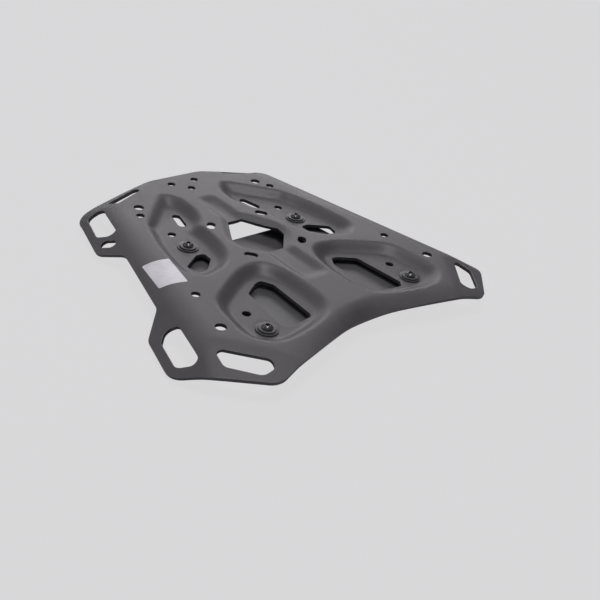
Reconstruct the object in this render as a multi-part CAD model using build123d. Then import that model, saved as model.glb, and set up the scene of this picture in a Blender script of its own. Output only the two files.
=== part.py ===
"""Pressed luggage rack plate on its adapter plate, with four bolted fixings.

X is across the vehicle, +Y is forward, +Z is up. The origin is the middle of the four
fixing screws, on the underside of the adapter plate. Heights in the functions start at the
underside of the rack plate's pocket floors, and the finished parts are lifted from there.
"""
import math
import os

from build123d import *

# Sheet and pressing, in millimetres and degrees
sheet = 4.0
pocket_depth = 8.5
trough_depth = 3.8
pocket_wall = 16.0
trough_wall = 13.0
corner_softness = 5.0
sample_step = 5.0

# Fixing screws: half the spacing across, and half the spacing along
rear_screw_x = 75.0
front_screw_x = 100.0
screw_y = 75.8

# Fixings
screw_diameter = 6.0
clearance = 0.4
head_diameter = 11.0
head_height = 3.2
socket_across_flats = 4.0
socket_depth = 1.8
wide_washer_diameter = 22.0
wide_washer_thickness = 1.2
narrow_washer_diameter = 17.8
narrow_washer_thickness = 1.2
spacer_diameter = 16.0
spacer_height = 4.65
coined_depth = 0.25
nut_across_flats = 10.0
nut_height = 5.0
thread_past_nut = 1.5

# Adapter plate
adapter_sheet = 4.0

# Round holes in the rack plate
small_hole = 8.7
large_hole = 10.6

# Edge bends: where each begins, how it lies in plan, its radius and its steepest slope
side_bend_x = 135.3
side_bend_angle = 13.8
side_bend_radius = 50.0
side_slope = 20.0
rear_bend_distance = 195.5
rear_bend_angle = 25.0
rear_bend_radius = 12.0
rear_slope = 30.0
corner_bend_distance = 160.5
corner_bend_angle = 40.5
corner_bend_radius = 60.0
corner_slope = 8.0
skirt_bend_y = 82.2
skirt_sweep = 0.2
skirt_radius = 30.0
skirt_radius_gain = 120.0
skirt_slope = 30.0

top = sheet + pocket_depth
half_span = 215.0
rear_limit = -215.0
front_limit = 150.0


def moved(points, x, y):
    """The outline's points with an offset added."""
    return [(px + x, py + y) for px, py in points]


def both_sides(corners):
    """A right-hand run of corners, rear to front, closed by its mirror image."""
    left = [(-x, y, r) for x, y, r in reversed(corners) if x > 0]
    return corners + left


# Pressed pockets, as convex outlines halfway down the wall, counter-clockwise,
# measured from the screw that stands in them
rear_pocket_lobe = moved(
    [(-44, -80), (-33, -91), (17, -42), (-5, -19), (-31, -23), (-44, -45)],
    rear_screw_x,
    -screw_y,
)
rear_pocket_body = moved(
    [(-28, -24), (-5, -52), (17, -42), (34, 5), (38, 48), (25, 59), (-9, 49), (-22, 30)],
    rear_screw_x,
    -screw_y,
)
front_pocket = moved(
    [(-73, -1.5), (-73, -63.5), (-62, -82.5), (-38, -82.5), (19, -47.5), (27, 8.5), (10, 25.5),
     (-10, 26.5), (-64, 11.5)],
    front_screw_x,
    screw_y,
)

# Pressed trough along the middle, which dishes the central opening
trough_tail = [(-9, -144), (9, -144), (9, -76), (-9, -76)]
trough_dish = [(-9, -102), (9, -102), (37, -59), (35, -43), (16, -20), (-16, -20), (-35, -43), (-37, -59)]
trough_nose = [(-14, -36), (14, -36), (14, 34), (-14, 34)]

# Plan outline of the rack plate: x, y and corner radius
plate_outline = both_sides([
    (66, -202.8, 60),
    (135.7, -188.5, 30),
    (159.3, -112, 16),
    (142.8, -88.7, 14),
    (168.4, 1.9, 14),
    (197.6, 30.7, 16),
    (211.3, 79.5, 28),
    (144.9, 144.6, 18),
    (0, 105.6, 145),
])

# Openings in the plate's right half: x, y and corner radius
central_opening = both_sides([
    (9, -93.3, 3),
    (31.5, -58, 6),
    (29.5, -46, 6),
    (9.5, -24.8, 4),
])
front_ear_opening = [(166.8, 79.7, 5), (172.5, 103.2, 6), (150.7, 129.9, 7), (136.8, 128.1, 5), (133, 117.9, 6)]
flank_opening = [
    (169.6, 35.6, 4), (180.6, 31.2, 8), (191.9, 42.1, 6), (201.3, 76, 7), (190.3, 84.3, 6), (181.9, 81.6, 5),
]
rear_ear_opening = [(112.5, -177.4, 7), (132, -174, 8), (144, -135.9, 6), (135, -126.6, 6), (125.3, -129.4, 5)]
chamfer_slot = [(56.5, -188, 3.5), (60.5, -196.1, 3.5), (99.9, -186.5, 5), (100, -170, 4)]
rear_floor_opening = [
    (67.5, -58.5, 4), (78, -58.5, 4), (99.5, -45, 4.5), (95.5, -29.5, 5), (83, -32.5, 5), (68.5, -46.5, 4),
]
front_floor_opening = [
    (42.5, 20, 5), (49.5, 8.5, 5), (57.5, 10, 6), (76, 21, 6), (83, 77, 5), (78, 84, 4), (45.5, 79, 6),
]

# Slots with round ends: centre, overall length, width and turn of the long axis
slots = [
    (35.1, -90.4, 14.0, 8.8, 46.8),
    (35.4, -24.4, 14.0, 8.8, 133.0),
    (49.4, -125.5, 26.0, 8.8, 74.7),
    (142.9, -116.8, 15.5, 8.8, 118.0),
]

# Round holes: centre and diameter
side_holes = [
    (15.9, -186.7, small_hole),
    (81.3, -154.8, large_hole),
    (90.2, -138.9, small_hole),
    (74.4, -104.2, small_hole),
    (99.9, 46.9, small_hole),
    (130.6, 8.7, small_hole),
    (143.0, 61.2, large_hole),
]
middle_hole = (0, -170.5, small_hole)


def past_line(x, y, angle, distance):
    """How far a point lies beyond a line whose normal is turned by angle from +X."""
    turn = math.radians(angle)
    return x * math.cos(turn) + y * math.sin(turn) - distance


def bend_drop(run, radius, slope):
    """Fall of a sheet that rolls over a radius and then runs straight at a slope."""
    if run <= 0:
        return 0.0
    steepest = math.radians(slope)
    roll = radius * math.sin(steepest)
    if run < roll:
        return radius - math.sqrt(radius**2 - run**2)
    return radius * (1 - math.cos(steepest)) + (run - roll) * math.tan(steepest)


def softened_reach(x, y, outline):
    """Distance outside a convex outline, with its corners softened."""
    reaches = []
    for (ax, ay), (bx, by) in zip(outline, outline[1:] + outline[:1]):
        length = math.hypot(bx - ax, by - ay)
        reaches.append(((x - ax) * (by - ay) - (y - ay) * (bx - ax)) / length)
    furthest = max(reaches)
    total = sum(math.exp((reach - furthest) / corner_softness) for reach in reaches)
    return furthest + corner_softness * math.log(total)


def dip(x, y, outline, wall):
    """Share of a pressing's full depth at a point: 1 on its floor and 0 outside it."""
    share = 0.5 - softened_reach(x, y, outline) / wall
    share = min(1.0, max(0.0, share))
    return share * share * (3 - 2 * share)


def joined(shares):
    """Dips that run into one another without a ridge."""
    left = 1.0
    for share in shares:
        left *= 1 - share
    return 1 - left


def edge_drop(x, y):
    """Fall of the plate's edges: flanks, rear chamfers, front corners and front skirt."""
    side = past_line(x, y, -side_bend_angle, side_bend_x * math.cos(math.radians(side_bend_angle)))
    rear = past_line(x, y, rear_bend_angle - 90, rear_bend_distance)
    corner = past_line(x, y, corner_bend_angle, corner_bend_distance)
    front = y - skirt_bend_y - skirt_sweep * math.hypot(x, 20)
    front_radius = skirt_radius + skirt_radius_gain * (x / front_screw_x) ** 2
    drops = [
        bend_drop(side, side_bend_radius, side_slope),
        bend_drop(rear, rear_bend_radius, rear_slope),
        bend_drop(corner, corner_bend_radius, corner_slope),
        bend_drop(front, front_radius, skirt_slope),
    ]
    return sum(drop**3 for drop in drops) ** (1 / 3)


def plate_height(x, y):
    """Height of the rack plate's upper surface."""
    x = abs(x)
    pockets = joined([
        dip(x, y, rear_pocket_lobe, pocket_wall),
        dip(x, y, rear_pocket_body, pocket_wall),
        dip(x, y, front_pocket, pocket_wall),
    ])
    trough = joined([
        dip(x, y, trough_tail, trough_wall),
        dip(x, y, trough_dish, trough_wall),
        dip(x, y, trough_nose, trough_wall),
    ])
    return top - edge_drop(x, y) - pocket_depth * pockets - trough_depth * trough


def plate_underside(x, y):
    """Height of the lower surface, one sheet below the upper one square to it."""
    rise_x = plate_height(x + 0.5, y) - plate_height(x - 0.5, y)
    rise_y = plate_height(x, y + 0.5) - plate_height(x, y - 0.5)
    return plate_height(x, y) - sheet * math.sqrt(1 + rise_x**2 + rise_y**2)


def sheet_section(y):
    """Cross-section of the pressed sheet at one place along the plate."""
    count = round(half_span / sample_step)
    places = [index * sample_step for index in range(-count, count + 1)]
    marks = [index / (2 * count) for index in range(2 * count + 1)]
    upper = [(x, y, plate_height(x, y)) for x in places]
    lower = [(x, y, plate_underside(x, y)) for x in places]
    return Wire([
        Edge.make_spline(upper, parameters=marks),
        Edge.make_line(upper[-1], lower[-1]),
        Edge.make_spline(lower, parameters=marks),
        Edge.make_line(lower[0], upper[0]),
    ])


def pressed_sheet():
    """The whole sheet with its pockets, trough and bent edges, before it is cut out."""
    count = round((front_limit - rear_limit) / sample_step)
    return Solid.make_loft([sheet_section(rear_limit + index * sample_step) for index in range(count + 1)])


def rounded_face(corners):
    """A flat face whose corners are x, y and radius, joined by lines and tangent arcs."""
    arcs = []
    for index, (x, y, radius) in enumerate(corners):
        here = Vector(x, y)
        back_x, back_y, _ = corners[index - 1]
        next_x, next_y, _ = corners[(index + 1) % len(corners)]
        to_back = (Vector(back_x, back_y) - here).normalized()
        to_next = (Vector(next_x, next_y) - here).normalized()
        half_corner = math.radians(to_back.get_angle(to_next)) / 2
        run = radius / math.tan(half_corner)
        bisector = (to_back + to_next).normalized()
        middle = here + bisector * (radius / math.sin(half_corner) - radius)
        arcs.append((here + to_back * run, middle, here + to_next * run))
    edges = []
    for index, (start, middle, end) in enumerate(arcs):
        next_start = arcs[(index + 1) % len(arcs)][0]
        edges.append(Edge.make_three_point_arc(start, middle, end))
        edges.append(Edge.make_line(end, next_start))
    return Face(Wire(edges))


def prism(face, low, high):
    """A flat face raised from one height to another."""
    return extrude(Pos(0, 0, low) * face, high - low, dir=(0, 0, 1))


def mirrored(shape):
    """The same shape on the left-hand side."""
    return mirror(shape, Plane.YZ)


def through_cut(face):
    """Cutting solid for one opening, tall enough for the whole plate."""
    return prism(face, -60, 60)


def screw_places():
    """Name and position of each fixing."""
    return [
        ("rear_right", rear_screw_x, -screw_y),
        ("rear_left", -rear_screw_x, -screw_y),
        ("front_right", front_screw_x, screw_y),
        ("front_left", -front_screw_x, screw_y),
    ]


def rack_plate():
    """Pressed plate: coined flat under each screw, cut to its outline and pierced."""
    seat_radius = wide_washer_diameter / 2 + 1
    seat = Circle(seat_radius).face()
    fixing_cut = Cylinder((screw_diameter + clearance) / 2, 120)
    fixing_cut += prism(seat, sheet - coined_depth, sheet + 1) + prism(seat, -1, coined_depth)
    plate = pressed_sheet() - [Pos(x, y) * fixing_cut for _, x, y in screw_places()]
    plate &= prism(rounded_face(plate_outline), -60, 60)
    cuts = []
    for corners in (front_ear_opening, flank_opening, rear_ear_opening, chamfer_slot,
                    rear_floor_opening, front_floor_opening):
        cuts.append(through_cut(rounded_face(corners)))
    for x, y, length, width, turn in slots:
        cuts.append(through_cut(Pos(x, y) * Rot(0, 0, turn) * SlotOverall(length, width).face()))
    for x, y, diameter in side_holes:
        cuts.append(Pos(x, y) * Cylinder(diameter / 2, 120))
    cuts += [mirrored(cut) for cut in cuts]
    cuts.append(through_cut(rounded_face(central_opening)))
    x, y, diameter = middle_hole
    cuts.append(Pos(x, y) * Cylinder(diameter / 2, 120))
    return (plate - cuts).solid()


def adapter_plate():
    """Flat carrier plate under the rack plate, with a lobe round each rear screw."""
    side_x = rear_screw_x
    outline = both_sides([
        (side_x - 20, -screw_y - 3, 6),
        (side_x - 12, -screw_y - 14, 8),
        (side_x + 12, -screw_y - 14, 10),
        (side_x + 23, -screw_y + 21, 20),
        (front_screw_x + 14, screw_y - 20, 30),
        (front_screw_x + 14, screw_y + 17, 12),
    ])
    plate = prism(rounded_face(outline), adapter_top - adapter_sheet, adapter_top)
    for _, x, y in screw_places():
        plate -= Pos(x, y) * Cylinder((screw_diameter + clearance) / 2, 120)
    return plate.solid()


def ring(outer, inner, low, high):
    """A flat ring about the Z axis."""
    return prism(Circle(outer / 2).face() - Circle(inner / 2).face(), low, high)


def button_screw(head_base, length):
    """Domed socket screw with its head seated at head_base."""
    head_radius = head_diameter / 2
    crown = head_radius * 0.45
    rim = head_height * 0.3
    profile = Polyline(
        (crown, head_height),
        (0, head_height),
        (0, -length),
        (screw_diameter / 2 - 0.6, -length),
        (screw_diameter / 2, 0.6 - length),
        (screw_diameter / 2, 0),
        (head_radius, 0),
        (head_radius, rim),
    )
    dome = ThreePointArc((head_radius, rim), (head_radius * 0.8, head_height * 0.74), (crown, head_height))
    body = revolve(Plane.XZ * make_face([profile, dome]), Axis.Z)
    socket = RegularPolygon(socket_across_flats / 2, 6, major_radius=False).face()
    body -= prism(socket, head_height - socket_depth, head_height + 1)
    return (Pos(0, 0, head_base) * body).solid()


def hex_nut(low):
    """Plain hexagon nut with broken corners."""
    nut = prism(RegularPolygon(nut_across_flats / 2, 6, major_radius=False).face(), low, low + nut_height)
    cone = Pos(0, 0, low + nut_height / 2) * Cone(nut_across_flats * 0.5 + 3.4, nut_across_flats * 0.5, nut_height)
    nut &= cone + Pos(0, 0, low + 1.5) * Cylinder(nut_across_flats, 3)
    bore = Pos(0, 0, low + nut_height / 2) * Cylinder(screw_diameter / 2, nut_height + 2)
    return (nut - bore).solid()


# Heights of the fixing stack, from the coined seats outwards
washer_seat = sheet - coined_depth
narrow_washer_seat = washer_seat + wide_washer_thickness
head_seat = narrow_washer_seat + narrow_washer_thickness
adapter_top = coined_depth - spacer_height
adapter_bottom = adapter_top - adapter_sheet
screw_length = head_seat - adapter_bottom + nut_height + thread_past_nut
hole_diameter = screw_diameter + clearance

parts = {"rack_plate": rack_plate(), "adapter_plate": adapter_plate()}
stack = {
    "wide_washer": ring(wide_washer_diameter, hole_diameter, washer_seat, narrow_washer_seat),
    "narrow_washer": ring(narrow_washer_diameter, hole_diameter, narrow_washer_seat, head_seat),
    "spacer": ring(spacer_diameter, hole_diameter, adapter_top, coined_depth),
    "screw": button_screw(head_seat, screw_length),
    "nut": hex_nut(adapter_bottom - nut_height),
}
for place, x, y in screw_places():
    for kind, shape in stack.items():
        parts[f"{kind}_{place}"] = Pos(x, y) * shape

os.makedirs("parts", exist_ok=True)
for name, shape in parts.items():
    export_step(Pos(0, 0, -adapter_bottom) * shape, f"parts/{name}.step")
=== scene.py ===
# %% [markdown]
# # A motorcycle luggage rack in satin black powder coat
# The real rack is one sheet of aluminium, about 410 mm wide, pressed in a die so that four pockets and
# a trough sink into it, with openings for straps and bolts, and coated in a fine-textured black powder.
# Four black button screws hold it on a flat adapter plate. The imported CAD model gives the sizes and
# places, and this lesson gives each piece the edges and the finish that a camera sees.

# %% Load the frame
import math

import bmesh
import bpy
import numpy as np
from mathutils import Matrix, Vector


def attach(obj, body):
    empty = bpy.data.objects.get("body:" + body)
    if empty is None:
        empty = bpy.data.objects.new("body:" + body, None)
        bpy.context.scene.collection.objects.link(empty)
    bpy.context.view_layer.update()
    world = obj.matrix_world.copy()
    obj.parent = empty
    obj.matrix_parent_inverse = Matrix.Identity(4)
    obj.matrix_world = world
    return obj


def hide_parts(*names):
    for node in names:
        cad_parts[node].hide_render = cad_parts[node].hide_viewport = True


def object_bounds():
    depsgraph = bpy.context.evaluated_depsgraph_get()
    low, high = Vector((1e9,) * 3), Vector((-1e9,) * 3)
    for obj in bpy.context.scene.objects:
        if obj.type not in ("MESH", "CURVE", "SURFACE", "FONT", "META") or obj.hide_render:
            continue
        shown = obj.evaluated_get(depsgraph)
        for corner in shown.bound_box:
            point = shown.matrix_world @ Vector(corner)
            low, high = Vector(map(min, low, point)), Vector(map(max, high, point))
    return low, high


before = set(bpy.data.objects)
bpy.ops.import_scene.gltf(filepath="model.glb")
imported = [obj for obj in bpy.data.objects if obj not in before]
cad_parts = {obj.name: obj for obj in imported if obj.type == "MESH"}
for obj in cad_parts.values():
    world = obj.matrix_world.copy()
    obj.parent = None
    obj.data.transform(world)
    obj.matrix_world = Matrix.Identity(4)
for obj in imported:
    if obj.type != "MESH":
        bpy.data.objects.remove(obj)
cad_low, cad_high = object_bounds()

MM = 0.001
print("CAD nodes:", len(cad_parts), "size in mm:", [round(v / MM, 1) for v in cad_high - cad_low])

# %% [markdown]
# ## Finishes as sums
# A finish is a small network of nodes. Writing it as sums keeps it readable, so one class wraps a
# node's output and knows how to add and multiply, and one method makes every node. What changes over
# the surface goes into colour, roughness and bump, and plain numbers are set on the shader itself.

# %% A signal that takes part in sums
class Signal:
    """A node's output that Python's operators turn into Math nodes."""

    def __init__(self, owner, socket):
        self.owner = owner
        self.socket = socket

    def sum_with(self, operation, first, second):
        return self.owner.node("ShaderNodeMath", {"operation": operation}, {0: first, 1: second})

    def __add__(self, other):
        return self.sum_with("ADD", self, other)

    def __radd__(self, other):
        return self.sum_with("ADD", other, self)

    def __sub__(self, other):
        return self.sum_with("SUBTRACT", self, other)

    def __rsub__(self, other):
        return self.sum_with("SUBTRACT", other, self)

    def __mul__(self, other):
        return self.sum_with("MULTIPLY", self, other)

    def __rmul__(self, other):
        return self.sum_with("MULTIPLY", other, self)


print("a signal can be added, taken away and multiplied")

# %% The one method that makes nodes
class Network:
    """The nodes of a material or of the world."""

    def __init__(self, block):
        block.use_nodes = True
        self.block = block
        self.tree = block.node_tree
        self.tree.nodes.clear()

    def node(self, kind, settings=None, sockets=None, output=0):
        """Adds a node, sets it up, fills its sockets, and returns one of its outputs."""
        made = self.tree.nodes.new(kind)
        for name, value in (settings or {}).items():
            setattr(made, name, value)
        for name, value in (sockets or {}).items():
            if isinstance(value, Signal):
                self.tree.links.new(value.socket, made.inputs[name])
            else:
                made.inputs[name].default_value = value
        return Signal(self, made.outputs[output]) if made.outputs else made


print("each network starts empty")

# %% What the finishes share
class Finish(Network):
    """A material with its patterns, its bump and its shader."""

    def __init__(self, name):
        super().__init__(bpy.data.materials.new(name))

    def noise(self, fineness, detail=2.0, roughness=0.5):
        """Noise of a given fineness, in cycles to the metre, fixed to the object."""
        place = self.node("ShaderNodeTexCoord", output="Object")
        return self.node("ShaderNodeTexNoise", {}, {
            "Vector": place, "Scale": fineness, "Detail": detail, "Roughness": roughness,
        })

    def part_of(self, signal, low, high):
        """0 below low, 1 above high, and an even slope between them."""
        return self.node("ShaderNodeMapRange", {}, {"Value": signal, "From Min": low, "From Max": high})

    def blend(self, share, first, second):
        """One colour where share is 0, and another where it is 1."""
        return self.node("ShaderNodeMix", {"data_type": "RGBA"}, {0: share, 6: first, 7: second}, output=2)

    def attribute(self, name):
        """A number that the piece's own mesh carries."""
        return self.node("ShaderNodeAttribute", {"attribute_name": name}, output="Fac")

    def bump(self, height, distance, strength):
        """Relief of a given height in metres."""
        return self.node("ShaderNodeBump", {}, {"Strength": strength, "Distance": distance, "Height": height})

    def surface(self, **sockets):
        """The Principled shader and the output: words are its socket names with _ for spaces."""
        filled = {name.replace("_", " "): value for name, value in sockets.items()}
        shader = self.node("ShaderNodeBsdfPrincipled", {}, filled)
        self.node("ShaderNodeOutputMaterial", {}, {"Surface": shader})
        return self.block


def grey(level, warmth=0.0):
    """A colour near grey: more warmth is less blue."""
    return (level * (1 + warmth), level, level * (1 - warmth), 1)


print("a plain mid grey:", grey(0.2))

# %% [markdown]
# ## Powder coat
# Powder coat isn't smooth paint. The powder melts into a skin with a fine pimple, about half a
# millimetre across, over a slower orange peel. The pimples spread each highlight, so the black sheet
# looks mid-grey where it faces the far light. A faint bloom of dust lies on it in patches. Each sheet
# carries a number for how far round its rim a point lies. Straps and boxes polish the edges, so the
# finish is smoother between the upper face and the wall, and there its colour is lighter as a painted
# highlight along the rim.

# %% Powder coat for the two plates
LEAN_NAME = "lean"
PIMPLES, PEEL, FLECKS = 2100.0, 420.0, 3600.0
PATCHES, CLOUDS = 38.0, 14.0
COAT_RELIEF = 0.00011
# The second number sets how light the painted highlight along the rims is
FLECK_LIGHTER, RIM_HIGHLIGHT_LIGHTER = 2.4, 3.4


def powder_coat(name, dark, light, rough):
    coat = Finish(name)
    pimple = coat.noise(PIMPLES, detail=1.0, roughness=0.45)
    peel = coat.noise(PEEL)
    patch = coat.noise(PATCHES, detail=4.0, roughness=0.62)
    cloud = coat.noise(CLOUDS, detail=3.0, roughness=0.6)
    bloom = coat.part_of(patch * 0.5 + cloud * 0.5, 0.42, 0.66)
    fleck = coat.part_of(coat.noise(FLECKS, detail=0.0), 0.63, 0.8)
    lean = coat.attribute(LEAN_NAME)
    rim = coat.part_of(lean, 0.0, 40.0) * (1 - coat.part_of(lean, 50.0, 85.0))
    dusty = coat.blend(bloom, dark, light)
    flecked = coat.blend(fleck * 0.35, dusty, grey(light[1] * FLECK_LIGHTER))
    return coat.surface(
        # The lighter base colour on the rim is a painted highlight along the edges; the lower roughness there
        # is the polish
        Base_Color=coat.blend(rim * 0.6, flecked, grey(light[1] * RIM_HIGHLIGHT_LIGHTER)),
        Roughness=rough + bloom * 0.07 - (1 - peel) * 0.08 - rim * 0.12,
        Normal=coat.bump(pimple * 0.7 + peel * 0.9, COAT_RELIEF, 0.55),
    )


black_coat = powder_coat("rack_powder_coat", (0.0385, 0.0355, 0.0405, 1), (0.053, 0.0492, 0.0558, 1), 0.5)
adapter_coat = powder_coat("adapter_paint", (0.05, 0.0485, 0.053, 1), (0.07, 0.068, 0.073, 1), 0.44)
print("coats:", black_coat.name, adapter_coat.name)

# %% [markdown]
# ## Black-plated fixings and zinc nuts
# Button screws and washers are turned or stamped from steel and plated black. Turning leaves rings
# round the centre, so each of these pieces carries its own distance from the centre as a number on
# its mesh, and the finish draws the rings from it. Plating rubs through a little in blotches.

# %% Plated finishes
TURNING_NAME = "turning"
RING_FINENESS = 36.0
BLOTCHES, SPECKS = 260.0, 3000.0
PLATE_RELIEF = 0.00003


def plated(name, dark, worn, rough, metal):
    plate = Finish(name)
    from_centre = plate.attribute(TURNING_NAME)
    rings = plate.node("ShaderNodeMath", {"operation": "SINE"}, {0: from_centre * RING_FINENESS})
    blotch = plate.part_of(plate.noise(BLOTCHES, detail=3.0, roughness=0.6), 0.45, 0.68)
    speck = plate.noise(SPECKS, detail=1.0)
    return plate.surface(
        Base_Color=plate.blend(blotch * 0.8, dark, worn),
        Roughness=rough + blotch * 0.1 + rings * 0.03,
        Metallic=metal + blotch * 0.1,
        Normal=plate.bump(rings * 0.35 + speck * 0.65, PLATE_RELIEF, 0.5),
    )


washer_black = plated("washer_black", (0.034, 0.032, 0.036, 1), (0.048, 0.0455, 0.0505, 1), 0.38, 0.2)
screw_black = plated("screw_black", grey(0.045), grey(0.065), 0.19, 0.25)
spacer_black = plated("spacer_black", grey(0.03), grey(0.05), 0.45, 0.2)
nut_zinc = plated("nut_steel", grey(0.42), grey(0.3, 0.03), 0.34, 0.9)
print("plated:", [finish.name for finish in (washer_black, screw_black, spacer_black, nut_zinc)])

# %% [markdown]
# ## The die's shape
# The press tool decides every height of the sheet, so the height is a rule and not a drawing: a flat
# top, less the roll of each bent edge, less a smooth dip for each pocket and for the trough. The CAD
# source makes its solid from the same rule, with a gentler slope on the flanks and the front corners.
# All lengths in these cells are in mm, and heights start at the underside of the pocket floors.

# %% Sizes of the pressing
SHEET = 4.0
POCKET_DEPTH, TROUGH_DEPTH = 8.5, 3.8
POCKET_WALL, TROUGH_WALL = 16.0, 13.0
CORNER_SOFTNESS = 5.0
ADAPTER_SHEET, SPACER, COINED = 4.0, 4.65, 0.25
ADAPTER_TOP = COINED - SPACER
LIFT = ADAPTER_SHEET - ADAPTER_TOP
TOP = SHEET + POCKET_DEPTH
print("the deck lies", TOP + LIFT, "mm above the underside of the adapter plate")

# %% Screws
REAR_X, FRONT_X, SCREW_Y = 75.0, 100.0, 75.8
SCREW_HOLE = 6.4
SCREWS = {
    "rear_right": (REAR_X, -SCREW_Y),
    "rear_left": (-REAR_X, -SCREW_Y),
    "front_right": (FRONT_X, SCREW_Y),
    "front_left": (-FRONT_X, SCREW_Y),
}
print("screws:", list(SCREWS))

# %% Pockets and trough of the right half, as corners
def moved(points, x, y):
    return [(px + x, py + y) for px, py in points]


POCKETS = [
    moved([(-44, -80), (-33, -91), (17, -42), (-5, -19), (-31, -23), (-44, -45)], REAR_X, -SCREW_Y),
    moved([(-28, -24), (-5, -52), (17, -42), (34, 5), (38, 48), (25, 59), (-9, 49), (-22, 30)],
          REAR_X, -SCREW_Y),
    moved([(-73, -1.5), (-73, -63.5), (-62, -82.5), (-38, -82.5), (19, -47.5), (27, 8.5), (10, 25.5),
           (-10, 26.5), (-64, 11.5)], FRONT_X, SCREW_Y),
]
TROUGHS = [
    [(-9, -144), (9, -144), (9, -76), (-9, -76)],
    [(-9, -102), (9, -102), (37, -59), (35, -43), (16, -20), (-16, -20), (-35, -43), (-37, -59)],
    [(-14, -36), (14, -36), (14, 34), (-14, 34)],
]
print("dips to join:", len(POCKETS), "for the pockets and", len(TROUGHS), "for the trough")

# %% Fall of the bent edges
# Each bend: its distance from the origin, the turn of that line, its radius and its steepest slope
SIDE_BEND = (135.3 * math.cos(math.radians(13.8)), -13.8, 50.0, 30.0)
REAR_BEND = (195.5, 25.0 - 90, 12.0, 30.0)
CORNER_BEND = (160.5, 40.5, 60.0, 11.5)
SKIRT_START, SKIRT_SWEEP, SKIRT_SOFTNESS = 82.2, 0.2, 20
SKIRT_RADIUS, SKIRT_RADIUS_GAIN, SKIRT_SLOPE = 30.0, 120.0, 30.0


def bend_drop(run, radius, slope):
    """Fall of a sheet that rolls over a radius and then runs straight at a slope."""
    steepest = math.radians(slope)
    roll = radius * math.sin(steepest)
    rolled = np.clip(run, 0, roll)
    straight = np.clip(run - roll, 0, None)
    return radius - np.sqrt(radius**2 - rolled**2) + straight * math.tan(steepest)


def line_drop(x, y, distance, angle, radius, slope):
    """Fall past a line that lies at a distance and angle from the origin."""
    turn = math.radians(angle)
    return bend_drop(x * math.cos(turn) + y * math.sin(turn) - distance, radius, slope)


def skirt_drop(x, y):
    """Fall of the front skirt, whose line sweeps forward to the sides."""
    run = y - SKIRT_START - SKIRT_SWEEP * np.hypot(x, SKIRT_SOFTNESS)
    return bend_drop(run, SKIRT_RADIUS + SKIRT_RADIUS_GAIN * (x / FRONT_X) ** 2, SKIRT_SLOPE)


def edge_drop(x, y):
    """Fall of all the bent edges, with a soft join where two of them meet."""
    drops = [line_drop(x, y, *bend) for bend in (SIDE_BEND, REAR_BEND, CORNER_BEND)] + [skirt_drop(x, y)]
    return sum(drop**3 for drop in drops) ** (1 / 3)


print("fall of the front ear's tip:", round(float(edge_drop(205.0, 76.0)), 1), "mm")

# %% Dips and the whole height
SEAT_RADIUS, SEAT_BLEND = 14.5, 3


def dip(x, y, outline, wall):
    """Share of a pressing's full depth: 1 on its floor and 0 outside it."""
    reaches = []
    for (ax, ay), (bx, by) in zip(outline, outline[1:] + outline[:1]):
        length = math.hypot(bx - ax, by - ay)
        reaches.append(((x - ax) * (by - ay) - (y - ay) * (bx - ax)) / length)
    furthest = np.max(reaches, axis=0)
    total = sum(np.exp((reach - furthest) / CORNER_SOFTNESS) for reach in reaches)
    share = np.clip(0.5 - (furthest + CORNER_SOFTNESS * np.log(total)) / wall, 0, 1)
    return share * share * (3 - 2 * share)


def joined_dips(x, y, outlines, wall):
    left = 1.0
    for outline in outlines:
        left = left * (1 - dip(x, y, outline, wall))
    return 1 - left


def sheet_height(x, y):
    """Height of the sheet's upper surface, for arrays of places."""
    x, y = abs(np.asarray(x, float)), np.asarray(y, float)
    pressed = POCKET_DEPTH * joined_dips(x, y, POCKETS, POCKET_WALL)
    pressed = pressed + TROUGH_DEPTH * joined_dips(x, y, TROUGHS, TROUGH_WALL)
    for sx, sy in (SCREWS["rear_right"], SCREWS["front_right"]):
        pressed = pressed + COINED * np.clip((SEAT_RADIUS - np.hypot(x - sx, y - sy)) / SEAT_BLEND, 0, 1)
    return TOP - edge_drop(x, y) - pressed


print("height at a screw seat:", round(float(sheet_height(REAR_X, -SCREW_Y)), 2), "on the deck:", TOP)

# %% [markdown]
# ## Blanking the sheet
# A press shop cuts the blank first and forms it after. The same order suits a mesh: rounded loops for
# the outline and the openings are filled with one flat face, planes cut that face into a fine net,
# and the stray edges of the fill are dissolved. The rim is then extruded from the border, ring by
# ring, over the rounded upper edge, down the wall and under the lower edge. Last the flat blank is
# laid on the die's rule. Each vertex remembers how far round the rim it sits, which gives an exact
# normal, so the sheet shines like a pressing and not like facets.

# %% Slots, holes and mirrored corners
def turned_corners(x, y, length, width, turn):
    """A slot, or a round hole if its length is its width, as four rounded corners."""
    along = Vector((math.cos(math.radians(turn)), math.sin(math.radians(turn)))) * (length / 2)
    across = Vector((-along.y, along.x)).normalized() * (width / 2)
    middle = Vector((x, y))
    near, far = middle - along, middle + along
    ends = [near - across, far - across, far + across, near + across]
    return [(end.x, end.y, width / 2) for end in ends]


def mirrored(corners):
    return [(-x, y, radius) for x, y, radius in reversed(corners)]


def both_sides(corners):
    """The right half's corners and then their mirror, with those on the middle line once."""
    return corners + mirrored([corner for corner in corners if corner[0] > 0])


print("corners of a slot:", len(turned_corners(0, 0, 14.0, 8.8, 0)))

# %% Rounded loops
ARC_STEP, LONGEST_CHORD, FEWEST_STEPS = 9.0, 6, 2
SAME_PLACE = 1e-4


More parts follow.
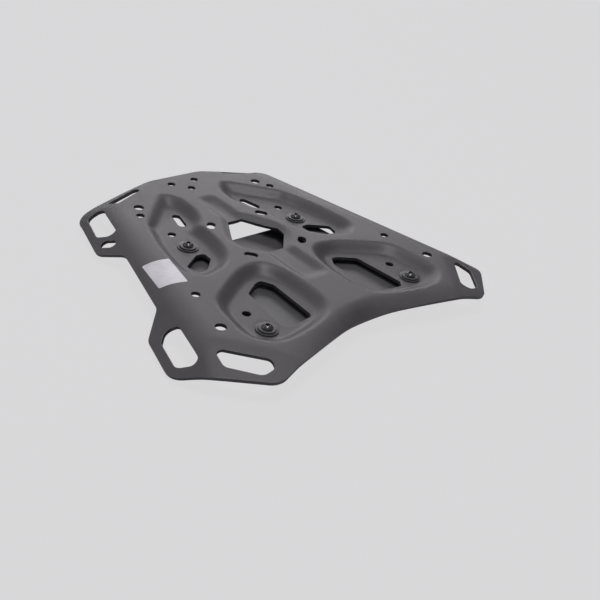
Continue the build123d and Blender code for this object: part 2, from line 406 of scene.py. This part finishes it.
def arc_points(before, corner, after, spread):
    """Points round one corner of x, y and radius, each moved outwards by spread."""
    here, radius = Vector(corner[:2]), corner[2]
    to_back = (Vector(before[:2]) - here).normalized()
    to_next = (Vector(after[:2]) - here).normalized()
    half = to_back.angle(to_next) / 2
    centre = here + (to_back + to_next).normalized() * (radius / math.sin(half))
    bulge = 1 if to_back.cross(to_next) < 0 else -1
    first = here + to_back * (radius / math.tan(half)) - centre
    sweep = bulge * (math.pi - 2 * half)
    by_turn = math.ceil(abs(math.degrees(sweep)) / ARC_STEP)
    by_length = math.ceil(abs(sweep) * radius / LONGEST_CHORD)
    steps = max(FEWEST_STEPS, by_turn, by_length)
    ways = [Matrix.Rotation(sweep * step / steps, 2) @ (first / radius) for step in range(steps + 1)]
    return [centre + way * (radius + bulge * spread) for way in ways]


def rounded_loop(corners, spread):
    """Points round a whole loop, anticlockwise."""
    turns = [(bx - ax) * (by + ay) for (ax, ay, _), (bx, by, _) in zip(corners, corners[1:] + corners[:1])]
    if sum(turns) > 0:
        corners = corners[::-1]
    points = []
    for before, corner, after in zip(corners[-1:] + corners[:-1], corners, corners[1:] + corners[:1]):
        points += arc_points(before, corner, after, spread)
    return [p for p, q in zip(points, points[1:] + points[:1]) if (p - q).length > SAME_PLACE]


round_hole = turned_corners(0, 0, SCREW_HOLE, SCREW_HOLE, 0)
print("points round a screw hole:", len(rounded_loop(round_hole, 0)))

# %% Net of the flat blank
NET_OFFSET = 0.013
LEVEL_LIMIT = 1e-3


def filled_loops(bm, loops):
    """Fills flat loops, the first outside and the others as openings."""
    for points in loops:
        verts = [bm.verts.new((p.x, p.y, 0)) for p in points]
        for a, b in zip(verts, verts[1:] + verts[:1]):
            bm.edges.new((a, b))
    bmesh.ops.triangle_fill(bm, use_beauty=True, use_dissolve=False, edges=bm.edges[:], normal=(0, 0, 1))


def cut_across(bm, axis, spacing):
    """Cuts the blank by planes at even steps along an axis."""
    reach = [v.co[axis] for v in bm.verts]
    normal = Vector((0, 0, 0))
    normal[axis] = 1
    for index in range(math.floor(min(reach) / spacing) + 1, math.ceil(max(reach) / spacing)):
        place = normal * (index * spacing + NET_OFFSET)
        geometry = bm.verts[:] + bm.edges[:] + bm.faces[:]
        bmesh.ops.bisect_plane(bm, geom=geometry, dist=SAME_PLACE, plane_co=place, plane_no=normal)


def bare_net(bm, loops, spacing):
    """Makes a flat net of squares that follows the loops at its borders."""
    filled_loops(bm, loops)
    for axis in (0, 1):
        cut_across(bm, axis, spacing)
    stray = []
    for e in bm.edges:
        way = e.verts[0].co - e.verts[1].co
        if not e.is_boundary and min(abs(way.x), abs(way.y)) > LEVEL_LIMIT:
            stray.append(e)
    bmesh.ops.dissolve_edges(bm, edges=stray, use_verts=False)
    passed = [v for v in bm.verts if len(v.link_edges) == 2 and not v.is_boundary]
    bmesh.ops.dissolve_verts(bm, verts=passed)


print("the net's lines lie", NET_OFFSET, "mm off round numbers, so that none runs through a corner")

# %% Rim of the sheet
RIM_ARC = (30, 60, 90)


def rim_rings(sheet, edge):
    """Rings round the rim: the lean from the upper face in degrees, the way out and the way down."""
    upper = [(a, edge * math.sin(math.radians(a)), edge * (1 - math.cos(math.radians(a)))) for a in RIM_ARC]
    return upper + [(180 - a, out, sheet - down) for a, out, down in reversed(upper)] + [(180, 0, sheet)]


def rim_directions(bm, way_out):
    """Stores at each border vertex the plan direction that leaves the metal."""
    for v in bm.verts:
        total = Vector((0, 0, 0))
        for e in v.link_edges:
            if e.is_boundary:
                corner = e.link_loops[0]
                along = (corner.link_loop_next.vert.co - corner.vert.co).normalized()
                total += Vector((along.y, -along.x, 0)) * corner.face.normal.z
        v[way_out] = total.normalized()


def thickened(bm, way_out, base, lean, sheet, edge):
    """Gives the flat net its underside, its wall and its broken edges."""
    for v in bm.verts:
        v[base] = v.co
    upper = bm.faces[:]
    if upper[0].normal.z < 0:
        bmesh.ops.reverse_faces(bm, faces=upper)
    border = [e for e in bm.edges if e.is_boundary]
    copy = bmesh.ops.duplicate(bm, geom=upper)["geom"]
    under = [f for f in copy if isinstance(f, bmesh.types.BMFace)]
    bmesh.ops.reverse_faces(bm, faces=under)
    for v in {v for f in under for v in f.verts}:
        v.co.z = -sheet
        v[lean] = 180
    for angle, out, down in rim_rings(sheet, edge):
        grown = bmesh.ops.extrude_edge_only(bm, edges=border)["geom"]
        for v in (g for g in grown if isinstance(g, bmesh.types.BMVert)):
            v.co = v[base] + v[way_out] * out
            v.co.z = -down
            v[lean] = angle
        border = [g for g in grown if isinstance(g, bmesh.types.BMEdge) and g.is_boundary]


print("rings round a 4 mm rim:", len(rim_rings(SHEET, 0.5)))

# %% A flat sheet laid on the die
RULE_STEP = 0.25


def pressed_normals(bm, way_out, lean, height):
    """Moves the flat sheet on to the height rule, and returns each vertex's exact normal."""
    x, y, flat = (np.array([v.co[axis] for v in bm.verts]) for axis in range(3))
    rise_x = (height(x + RULE_STEP, y) - height(x - RULE_STEP, y)) / (2 * RULE_STEP)
    rise_y = (height(x, y + RULE_STEP) - height(x, y - RULE_STEP)) / (2 * RULE_STEP)
    steep = np.sqrt(1 + rise_x**2 + rise_y**2)
    level = height(x, y) + LIFT
    normals = []
    for index, v in enumerate(bm.verts):
        up = Vector((-rise_x[index], -rise_y[index], 1)) / steep[index]
        v.co = Vector((v.co.x, v.co.y, level[index])) + up * flat[index]
        out = v[way_out] - up * v[way_out].dot(up)
        turn = math.radians(v[lean])
        normals.append((up * math.cos(turn) + out.normalized() * math.sin(turn)).normalized())
    return normals


print("the slope at a point comes from heights", 2 * RULE_STEP, "mm apart")

# %% A finished piece
def finished(bm, name, material):
    """Turns a bmesh in mm into an object that rides on the rack."""
    bmesh.ops.scale(bm, vec=(MM, MM, MM), verts=bm.verts)
    mesh = bpy.data.meshes.new(name)
    bm.to_mesh(mesh)
    bm.free()
    mesh.shade_smooth()
    mesh.materials.append(material)
    piece = bpy.data.objects.new(name, mesh)
    bpy.context.scene.collection.objects.link(piece)
    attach(piece, "root")
    print(name, "triangles:", sum(len(face.vertices) - 2 for face in mesh.polygons))
    return piece


print("one unit of a piece's bmesh is", MM, "m")

# %% A whole sheet, from its loops to its normals
RIM_MERGE = 2e-3


def formed_sheet(name, loops, spacing, sheet, edge, height, material):
    """Cuts, edges and presses one sheet, and returns it as an object that rides on the rack."""
    bm = bmesh.new()
    way_out = bm.verts.layers.float_vector.new("way_out")
    base = bm.verts.layers.float_vector.new("base")
    lean = bm.verts.layers.float.new(LEAN_NAME)
    bare_net(bm, loops, spacing)
    rim_directions(bm, way_out)
    thickened(bm, way_out, base, lean, sheet, edge)
    bmesh.ops.remove_doubles(bm, verts=bm.verts, dist=RIM_MERGE)
    bmesh.ops.recalc_face_normals(bm, faces=bm.faces)
    normals = pressed_normals(bm, way_out, lean, height)
    piece = finished(bm, name, material)
    piece.data.normals_split_custom_set_from_vertices(normals)
    return piece


print("rim vertices closer than", RIM_MERGE, "mm are merged")

# %% [markdown]
# ## The rack plate
# The outline and openings follow the CAD source's, right half first. Both halves are the same, so each
# opening off the middle line appears twice. Because the flanks and front corners fall more steeply
# here than in the source, the ears' corners move in by a few mm, and the stretch from the front ear to
# the front corner takes one point more. The corners of the side openings are rounder too.

# %% Outline of the rack plate
OUTLINE = both_sides([
    (66, -202.8, 60), (133.9, -191.1, 28), (154.9, -118.5, 18), (141.7, -90.2, 14), (166.9, 0, 14),
    (193.2, 25.1, 16), (207.5, 76, 24), (185.5, 106.5, 45), (143.3, 143.2, 18), (0, 105.6, 145),
])
print("corners of the outline:", len(OUTLINE))

# %% Openings of the rack plate
ROUND_HOLE, STRAP_HOLE, SLOT_WIDTH = 8.7, 10.6, 8.8
MIDDLE_OPENINGS = [
    both_sides([(9, -93.3, 3), (31.5, -58, 6), (29.5, -46, 6), (9.5, -24.8, 4)]),
    turned_corners(0, -170.5, ROUND_HOLE, ROUND_HOLE, 0),
]
SIDE_OPENINGS = [
    [(166.5, 79.4, 5), (171.2, 101.9, 8), (149.3, 128.6, 9), (135.9, 127.4, 6), (132.6, 117.6, 7)],
    [(169, 34.9, 5), (178.4, 28.5, 8), (188.6, 38, 8), (198, 72.1, 9), (188.8, 82.6, 5), (181.3, 80.9, 7)],
    [(112.5, -177.3, 7), (129.6, -177.8, 9), (140.9, -140.5, 8), (133.6, -128.6, 7), (125.1, -129.7, 5.5)],
    [(56.5, -188, 3.5), (60.5, -196.1, 3.5), (99.9, -186.5, 5), (100, -170, 4)],
    [(67.5, -58.5, 4), (78, -58.5, 4), (99.5, -45, 4.5), (95.5, -29.5, 5), (83, -32.5, 5), (68.5, -46.5, 4)],
    [(42.5, 20, 5), (49.5, 8.5, 5), (57.5, 10, 6), (76, 21, 6), (83, 77, 5), (78, 84, 4), (45.5, 79, 6)],
]
for x, y, length, turn in ((35.1, -90.4, 14.0, 46.8), (35.4, -24.4, 14.0, 133.0),
                           (49.4, -125.5, 26.0, 74.7), (140.7, -120.0, 15.5, 118.0)):
    SIDE_OPENINGS.append(turned_corners(x, y, length, SLOT_WIDTH, turn))
for x, y, width in ((15.9, -186.7, ROUND_HOLE), (81.3, -154.8, STRAP_HOLE), (90.2, -138.9, ROUND_HOLE),
                    (74.4, -104.2, ROUND_HOLE), (99.9, 46.9, ROUND_HOLE), (130.6, 8.7, ROUND_HOLE),
                    (143.0, 61.2, STRAP_HOLE), (*SCREWS["rear_right"], SCREW_HOLE),
                    (*SCREWS["front_right"], SCREW_HOLE)):
    SIDE_OPENINGS.append(turned_corners(x, y, width, width, 0))
openings = MIDDLE_OPENINGS + SIDE_OPENINGS + [mirrored(corners) for corners in SIDE_OPENINGS]
print("openings:", len(openings))

# %% Rack plate
RACK_NET, RACK_EDGE = 3.0, 0.55
rack_loops = [rounded_loop(OUTLINE, -RACK_EDGE)] + [rounded_loop(corners, RACK_EDGE) for corners in openings]
rack_plate = formed_sheet("rack_plate_pressed", rack_loops, RACK_NET, SHEET, RACK_EDGE, sheet_height,
                          black_coat)
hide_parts("rack_plate")

# %% [markdown]
# ## The adapter plate
# The adapter is the same kind of piece without a die, so its height rule is one number. A lobe
# reaches back round each rear screw, and the front edge runs straight across.

# %% Adapter plate
ADAPTER_NET, ADAPTER_EDGE = 40.0, 0.4
ADAPTER = both_sides([
    (REAR_X - 20, -SCREW_Y - 3, 6), (REAR_X - 12, -SCREW_Y - 14, 8), (REAR_X + 12, -SCREW_Y - 14, 10),
    (REAR_X + 23, -SCREW_Y + 21, 20), (FRONT_X + 14, SCREW_Y - 20, 30), (FRONT_X + 14, SCREW_Y + 17, 12),
])


def adapter_height(x, y):
    return np.full(np.shape(x), ADAPTER_TOP)


adapter_loops = [rounded_loop(ADAPTER, -ADAPTER_EDGE)]
for x, y in SCREWS.values():
    adapter_loops.append(rounded_loop(turned_corners(x, y, SCREW_HOLE, SCREW_HOLE, 0), ADAPTER_EDGE))
adapter_plate = formed_sheet("adapter_plate_sheet", adapter_loops, ADAPTER_NET, ADAPTER_SHEET, ADAPTER_EDGE,
                             adapter_height, adapter_coat)
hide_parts("adapter_plate")

# %% [markdown]
# ## The blank label
# A silver film is stuck on the bent flank. It is too thin to be a CAD part, so it takes the rack's own
# height rule and lies just above it. It is blank, with a faint brushed grain and smudges.

# %% Film of the label
BRUSHING, SMUDGES = 900.0, 60.0
FILM_RELIEF = 0.00004


def label_film():
    film = Finish("label_film")
    brushed = film.noise(BRUSHING)
    smudge = film.part_of(film.noise(SMUDGES, detail=3.0, roughness=0.6), 0.4, 0.7)
    return film.surface(
        Base_Color=film.blend(smudge, (0.57, 0.565, 0.59, 1), (0.47, 0.465, 0.49, 1)),
        Roughness=0.36 + smudge * 0.12,
        Normal=film.bump(brushed, FILM_RELIEF, 0.3),
    )


label_silver = label_film()
print("film:", label_silver.name)

# %% Label
LABEL = [(115.4, -54.2, 1.5), (142.6, -59.5, 1.5), (151.3, -19.2, 1.5), (123.8, -12.2, 1.5)]
LABEL_FILM, LABEL_EDGE = 0.14, 0.05


def label_height(x, y):
    return sheet_height(x, y) + LABEL_FILM


formed_sheet("flank_label", [rounded_loop(LABEL, -LABEL_EDGE)], RACK_NET, LABEL_FILM, LABEL_EDGE,
             label_height, label_silver)

# %% [markdown]
# ## Screws and washers
# These are turned pieces, so half of a cross-section is spun round the axis. A spin leaves hard
# corners, and real ones have a small break, so the washers' sharp edges are bevelled. The screw's
# head is part of a ball. Its hexagon socket can't be spun: a hexagon with as many vertices as the crown
# is bridged to it and pushed down.

# %% Turned pieces
TURN_STEPS = 48
SHARPER_THAN, SHADED_APART = 40, 32


def spun(bm, profile):
    """Spins a profile of radius and height round the Z axis."""
    verts = [bm.verts.new((radius, 0, z)) for radius, z in profile]
    edges = [bm.edges.new((a, b)) for a, b in zip(verts, verts[1:])]
    bmesh.ops.spin(bm, geom=verts + edges, cent=(0, 0, 0), axis=(0, 0, 1), angle=math.tau,
                   steps=TURN_STEPS, use_merge=True)
    bmesh.ops.remove_doubles(bm, verts=bm.verts, dist=SAME_PLACE)


def broken_edges(bm, width):
    """Rounds every edge that turns sharply."""
    limit = math.radians(SHARPER_THAN)
    sharp = [e for e in bm.edges if len(e.link_faces) == 2 and e.calc_face_angle() > limit]
    bmesh.ops.bevel(bm, geom=sharp, offset=width, offset_type="OFFSET", affect="EDGES", segments=3,
                    profile=0.5, material=-1, clamp_overlap=True)


def placed_turning(bm, node, place, seat, material):
    """Puts a turned piece at a screw, with its distance from the axis stored for the finish."""
    turning = bm.verts.layers.float.new(TURNING_NAME)
    bmesh.ops.recalc_face_normals(bm, faces=bm.faces)
    for v in bm.verts:
        v[turning] = math.hypot(v.co.x, v.co.y)
    bmesh.ops.translate(bm, vec=(*SCREWS[place], seat + LIFT), verts=bm.verts)
    piece = finished(bm, f"{node}_turned", material)
    piece.data.set_sharp_from_angle(angle=math.radians(SHADED_APART))
    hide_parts(node)


print("steps round a turned piece:", TURN_STEPS)

# %% Washers
WIDE_WASHER, NARROW_WASHER = (22.0, 1.2), (17.8, 1.2)
WASHER_BREAK = 0.22
WASHER_SEAT = SHEET - COINED
NARROW_SEAT = WASHER_SEAT + WIDE_WASHER[1]
HEAD_SEAT = NARROW_SEAT + NARROW_WASHER[1]


def washer(kind, place, outer, thick, seat):
    bm = bmesh.new()
    inner = SCREW_HOLE / 2
    spun(bm, [(inner, 0), (outer / 2, 0), (outer / 2, thick), (inner, thick), (inner, 0)])
    broken_edges(bm, WASHER_BREAK)
    placed_turning(bm, f"{kind}_{place}", place, seat, washer_black)


for place in SCREWS:
    washer("wide_washer", place, *WIDE_WASHER, WASHER_SEAT)
    washer("narrow_washer", place, *NARROW_WASHER, NARROW_SEAT)

# %% Profile of a button screw
HEAD_RADIUS, HEAD_HEIGHT, HEAD_BREAK = 5.5, 3.2, 0.2
CROWN_SHARE, RIM_SHARE = 0.45, 0.22
DOME_STEPS = 8
SHANK_RADIUS, SHANK_POINT = 3.0, 0.6
NUT_HEIGHT, THREAD_PAST_NUT = 5.0, 1.5
SCREW_LENGTH = HEAD_SEAT - ADAPTER_TOP + ADAPTER_SHEET + NUT_HEIGHT + THREAD_PAST_NUT


def screw_profile():
    """Radius and height from the point, up the shank and over the head to its crown."""
    crown, rim = HEAD_RADIUS * CROWN_SHARE, HEAD_HEIGHT * RIM_SHARE
    centre = (crown**2 + HEAD_HEIGHT**2 - HEAD_RADIUS**2 - rim**2) / (2 * (HEAD_HEIGHT - rim))
    ball = math.hypot(crown, HEAD_HEIGHT - centre)
    first, last = math.asin(HEAD_RADIUS / ball), math.asin(crown / ball)
    dome = []
    for step in range(DOME_STEPS + 1):
        turn = first + (last - first) * step / DOME_STEPS
        dome.append((ball * math.sin(turn), centre + ball * math.cos(turn)))
    shank = [(0, -SCREW_LENGTH), (SHANK_RADIUS - SHANK_POINT, -SCREW_LENGTH),
             (SHANK_RADIUS, SHANK_POINT - SCREW_LENGTH), (SHANK_RADIUS, 0)]
    return shank + [(HEAD_RADIUS - HEAD_BREAK, 0), (HEAD_RADIUS, HEAD_BREAK)] + dome


print("length under the head:", round(SCREW_LENGTH, 2), "mm")

# %% Button screws with hexagon sockets
SOCKET_FLATS, SOCKET_DEPTH = 4.0, 1.8
SOCKET_CHAMFER, SOCKET_POINT = 0.1, 0.5


def socketed(bm):
    """Closes the crown with a hexagon socket."""
    mouth_level = Matrix.Translation((0, 0, HEAD_HEIGHT - SOCKET_CHAMFER))
    to_corner = SOCKET_FLATS / math.sqrt(3)
    hexagon = bmesh.ops.create_circle(bm, segments=6, radius=to_corner, matrix=mouth_level)["verts"]
    sides = list({e for v in hexagon for e in v.link_edges})
    bmesh.ops.subdivide_edges(bm, edges=sides, cuts=TURN_STEPS // 6 - 1)
    bmesh.ops.bridge_loops(bm, edges=[e for e in bm.edges if e.is_boundary or e.is_wire])
    mouth = [e for e in bm.edges if e.is_boundary]
    pushed = bmesh.ops.extrude_edge_only(bm, edges=mouth)["geom"]
    lowered = [g for g in pushed if isinstance(g, bmesh.types.BMVert)]
    bmesh.ops.translate(bm, vec=(0, 0, -SOCKET_DEPTH), verts=lowered)
    floor_edges = [g for g in pushed if isinstance(g, bmesh.types.BMEdge) and g.is_boundary]
    floor = bmesh.ops.edgeloop_fill(bm, edges=floor_edges)["faces"]
    point = bmesh.ops.poke(bm, faces=floor)["verts"]
    bmesh.ops.translate(bm, vec=(0, 0, -SOCKET_POINT), verts=point)


for place in SCREWS:
    bm = bmesh.new()
    spun(bm, screw_profile())
    socketed(bm)
    placed_turning(bm, f"screw_{place}", place, HEAD_SEAT, screw_black)

# %% [markdown]
# ## Spacers and nuts
# Spacers and nuts hide under the rack, and the CAD's own shapes serve there. They keep their meshes and
# only take a finish.

# %% Finishes of the CAD nodes that stay
for place in SCREWS:
    for kind, material in (("spacer", spacer_black), ("nut", nut_zinc)):
        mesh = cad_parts[f"{kind}_{place}"].data
        mesh.materials.clear()
        mesh.materials.append(material)
print("kept CAD nodes:", sorted(name for name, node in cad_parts.items() if not node.hide_render))

# %% [markdown]
# ## Floor and surround
# The studio is a pale floor under a pale surround. Their brightness comes from their own colour, where
# the camera sees them, so the lamps can stay low enough for black. The floor mixes a little lit paint
# into that glow, which leaves it a faint shadow.

# %% Pale floor
PALE = (0.70, 0.695, 0.705, 1)
FLOOR_PAINT = (0.62, 0.615, 0.625, 1)
FLOOR_REACH, FLOOR_GLOW = 8.0, 0.95


def pale_floor(level):
    bm = bmesh.new()
    bmesh.ops.create_grid(bm, x_segments=1, y_segments=1, size=FLOOR_REACH)
    bmesh.ops.translate(bm, vec=(0, 0, level), verts=bm.verts)
    mesh = bpy.data.meshes.new("studio_floor")
    bm.to_mesh(mesh)
    bm.free()
    floor = bpy.data.objects.new("studio_floor", mesh)
    bpy.context.scene.collection.objects.link(floor)
    paint = Finish("studio_floor")
    seen = paint.node("ShaderNodeLightPath", output="Is Camera Ray")
    lit = paint.node("ShaderNodeBsdfDiffuse", {}, {"Color": FLOOR_PAINT})
    glow = paint.node("ShaderNodeEmission", {}, {"Color": PALE, "Strength": 1.0})
    mixed = paint.node("ShaderNodeMixShader", {}, {0: seen * FLOOR_GLOW, 1: lit, 2: glow})
    paint.node("ShaderNodeOutputMaterial", {}, {"Surface": mixed})
    mesh.materials.append(paint.block)
    print("floor at", round(level / MM, 1), "mm")


pale_floor(cad_low.z)

# %% Surround
AMBIENT_COLOUR, AMBIENT_STRENGTH = (0.96, 0.94, 1.0, 1), 0.15
MIRRORED_SHARE = 0.2


def surround():
    """A dim light from all round, and a pale backdrop for the camera."""
    world = bpy.data.worlds.new("studio")
    bpy.context.scene.world = world
    sky = Network(world)
    straight = sky.node("ShaderNodeLightPath", output="Is Camera Ray")
    through = sky.node("ShaderNodeLightPath", output="Is Transmission Ray")
    mirrored_rays = sky.node("ShaderNodeLightPath", output="Is Glossy Ray")
    ambient = sky.node("ShaderNodeBackground", {}, {"Color": AMBIENT_COLOUR, "Strength": AMBIENT_STRENGTH})
    shown = sky.node("ShaderNodeBackground", {}, {"Color": PALE, "Strength": 1.0})
    share = straight + through + mirrored_rays * MIRRORED_SHARE
    mixed = sky.node("ShaderNodeMixShader", {}, {0: share, 1: ambient, 2: shown})
    sky.node("ShaderNodeOutputWorld", {}, {"Surface": mixed})
    print("surround:", world.name)


surround()

# %% [markdown]
# ## Lamps
# Black satin only shows its shape by what it mirrors. Two long soft boxes stand beyond the rack and
# draw a grey sheen over everything that lies flat, while faces that lean to the camera stay dark. A
# wide box overhead and one at the side lift those a little, and a small bright one overhead puts a
# spark on each screw head.

# %% Soft boxes
def soft_box(name, place, size, power, colour=(1, 1, 1)):
    """A rectangular lamp that faces the rack."""
    lamp = bpy.data.lights.new(name, "AREA")
    lamp.shape = "RECTANGLE"
    lamp.size, lamp.size_y = size
    lamp.energy = power
    lamp.color = colour
    box = bpy.data.objects.new(name, lamp)
    box.location = place
    box.rotation_euler = (-Vector(place)).to_track_quat("-Z", "Y").to_euler()
    bpy.context.scene.collection.objects.link(box)
    print(name, "at", place)


soft_box("far_low_box", (-1.65, -2.28, 0.70), size=(2.4, 0.7), power=13.5, colour=(1.0, 0.98, 1.0))
soft_box("far_high_box", (-1.47, -2.03, 1.45), size=(2.4, 0.9), power=16.0, colour=(1.0, 0.98, 1.0))
soft_box("overhead_box", (-0.1, -0.1, 2.3), size=(2.0, 2.0), power=14.0, colour=(0.98, 0.95, 1.0))
soft_box("side_box", (1.36, -1.74, 1.38), size=(1.6, 1.2), power=8.0, colour=(0.98, 0.96, 1.0))
soft_box("spark_box", (0.06, 0.05, 2.15), size=(0.2, 0.2), power=17.0)

# %% [markdown]
# ## Camera
# The camera stands where the photograph was taken from. Its place, turn and lens come from fitting a
# pinhole camera to pairs of holes that mirror each other in the plate.

# %% Camera
CAMERA_PLACE = (0.594966, 0.536825, 0.463096)
CAMERA_RIGHT = (-0.72132, 0.67089, 0.17198)
CAMERA_UP = (-0.25369, -0.48702, 0.83573)
CAMERA_BACK = (0.64441, 0.55922, 0.52151)
SENSOR_WIDTH, FOCAL_LENGTH = 36.0, 54.08

lens = bpy.data.cameras.new("camera")
lens.sensor_width = SENSOR_WIDTH
lens.lens = FOCAL_LENGTH
camera = bpy.data.objects.new("camera", lens)
bpy.context.scene.collection.objects.link(camera)
turned = Matrix((CAMERA_RIGHT, CAMERA_UP, CAMERA_BACK)).transposed().to_4x4()
camera.matrix_world = Matrix.Translation(CAMERA_PLACE) @ turned
bpy.context.scene.camera = camera
bpy.context.scene.view_settings.view_transform = "Standard"
print("camera", round(Vector(CAMERA_PLACE).length, 2), "m from the origin")
